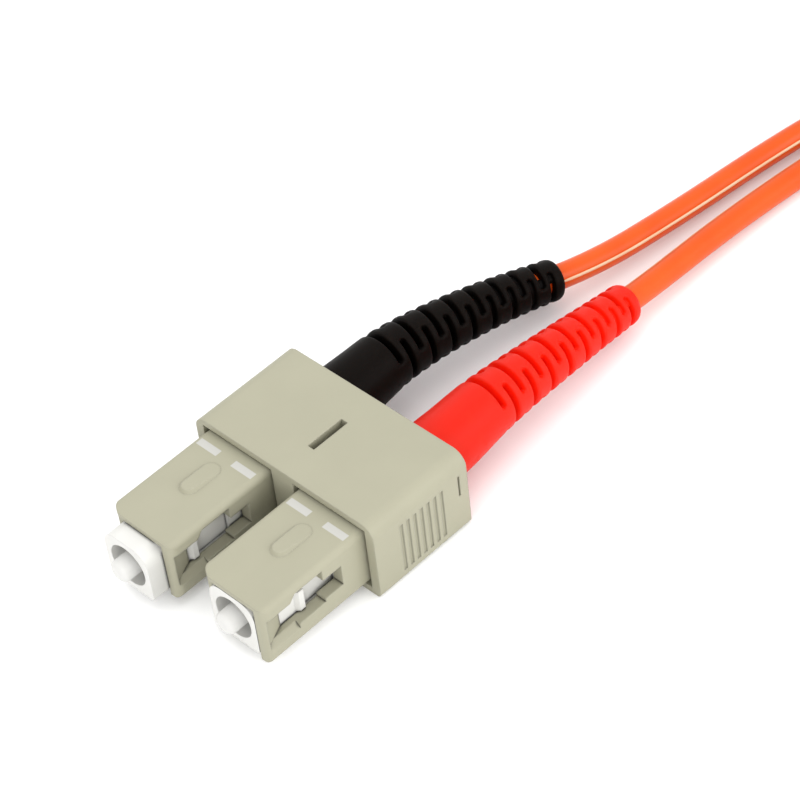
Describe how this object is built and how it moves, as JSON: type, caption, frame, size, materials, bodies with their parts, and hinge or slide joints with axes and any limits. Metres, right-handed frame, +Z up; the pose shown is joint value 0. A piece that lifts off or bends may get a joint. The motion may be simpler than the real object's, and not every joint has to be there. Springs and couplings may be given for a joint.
{
  "type": "fibre optic patch cable",
  "caption": "Duplex fibre optic patch cable: square push-pull plugs held in a beige clip at each end, bend relief boots and a twin orange lead put away in a tied hank.",
  "frame": {"origin": "middle of the near clip's bottom face", "axes": "+X towards the cable, +Y towards the plug with the black boot, +Z up"},
  "size_m": [0.2755, 0.0267, 0.0157],
  "materials": {
    "beige_plastic": "satin moulded",
    "white_plastic": "satin moulded",
    "zirconia": "polished",
    "nickel": "nickel plated",
    "spring_steel": "drawn wire",
    "crimp_metal": "crimped",
    "buffer_coat": "extruded",
    "black_rubber": "satin moulded",
    "red_rubber": "satin moulded",
    "orange_jacket": "extruded jacket",
    "tie_fabric": "hook and loop strap"
  },
  "bodies": {
    "cable": {"near_clip": "beige_plastic", "far_clip": "beige_plastic", "cord_hank": "orange_jacket", "hank_tie": "tie_fabric", "outer_housing_a": "beige_plastic", "outer_housing_b": "beige_plastic", "outer_housing_c": "beige_plastic", "outer_housing_d": "beige_plastic", "lead_a": "orange_jacket", "lead_b": "orange_jacket", "lead_c": "orange_jacket", "lead_d": "orange_jacket"},
    "plug_a": {"plug_frame_a": "white_plastic", "crimp_body_a": "nickel", "crimp_sleeve_a": "crimp_metal", "boot_a": "black_rubber", "ferrule_spring_a": "spring_steel"},
    "ferrule_a": {"ferrule_a": "zirconia", "ferrule_flange_a": "nickel", "buffered_fibre_a": "buffer_coat"},
    "plug_b": {"plug_frame_b": "white_plastic", "crimp_body_b": "nickel", "crimp_sleeve_b": "crimp_metal", "boot_b": "red_rubber", "ferrule_spring_b": "spring_steel"},
    "ferrule_b": {"ferrule_b": "zirconia", "ferrule_flange_b": "nickel", "buffered_fibre_b": "buffer_coat"},
    "plug_c": {"plug_frame_c": "white_plastic", "crimp_body_c": "nickel", "crimp_sleeve_c": "crimp_metal", "boot_c": "black_rubber", "ferrule_spring_c": "spring_steel"},
    "ferrule_c": {"ferrule_c": "zirconia", "ferrule_flange_c": "nickel", "buffered_fibre_c": "buffer_coat"},
    "plug_d": {"plug_frame_d": "white_plastic", "crimp_body_d": "nickel", "crimp_sleeve_d": "crimp_metal", "boot_d": "red_rubber", "ferrule_spring_d": "spring_steel"},
    "ferrule_d": {"ferrule_d": "zirconia", "ferrule_flange_d": "nickel", "buffered_fibre_d": "buffer_coat"}
  },
  "joints": [
    {"name": "plug_a_slide", "type": "slide", "parent": "cable", "child": "plug_a", "axis": [1, 0, 0], "range_m": [0, 0.002], "deforming": ["lead_a"]},
    {"name": "ferrule_a_press", "type": "slide", "parent": "plug_a", "child": "ferrule_a", "axis": [1, 0, 0], "range_m": [0, 0.0008], "stiffness_N_per_m": 3000, "springref_m": -0.00267, "deforming": ["ferrule_spring_a"]},
    {"name": "plug_b_slide", "type": "slide", "parent": "cable", "child": "plug_b", "axis": [1, 0, 0], "range_m": [-0.002, 0], "deforming": ["lead_b"]},
    {"name": "ferrule_b_press", "type": "slide", "parent": "plug_b", "child": "ferrule_b", "axis": [1, 0, 0], "range_m": [0, 0.0008], "stiffness_N_per_m": 3000, "springref_m": -0.00267, "deforming": ["ferrule_spring_b"]},
    {"name": "plug_c_slide", "type": "slide", "parent": "cable", "child": "plug_c", "axis": [-1, 0, 0], "range_m": [-0.002, 0], "deforming": ["lead_c"]},
    {"name": "ferrule_c_press", "type": "slide", "parent": "plug_c", "child": "ferrule_c", "axis": [-1, 0, 0], "range_m": [0, 0.0008], "stiffness_N_per_m": 3000, "springref_m": -0.00267, "deforming": ["ferrule_spring_c"]},
    {"name": "plug_d_slide", "type": "slide", "parent": "cable", "child": "plug_d", "axis": [-1, 0, 0], "range_m": [-0.002, 0], "deforming": ["lead_d"]},
    {"name": "ferrule_d_press", "type": "slide", "parent": "plug_d", "child": "ferrule_d", "axis": [-1, 0, 0], "range_m": [0, 0.0008], "stiffness_N_per_m": 3000, "springref_m": -0.00267, "deforming": ["ferrule_spring_d"]}
  ]
}
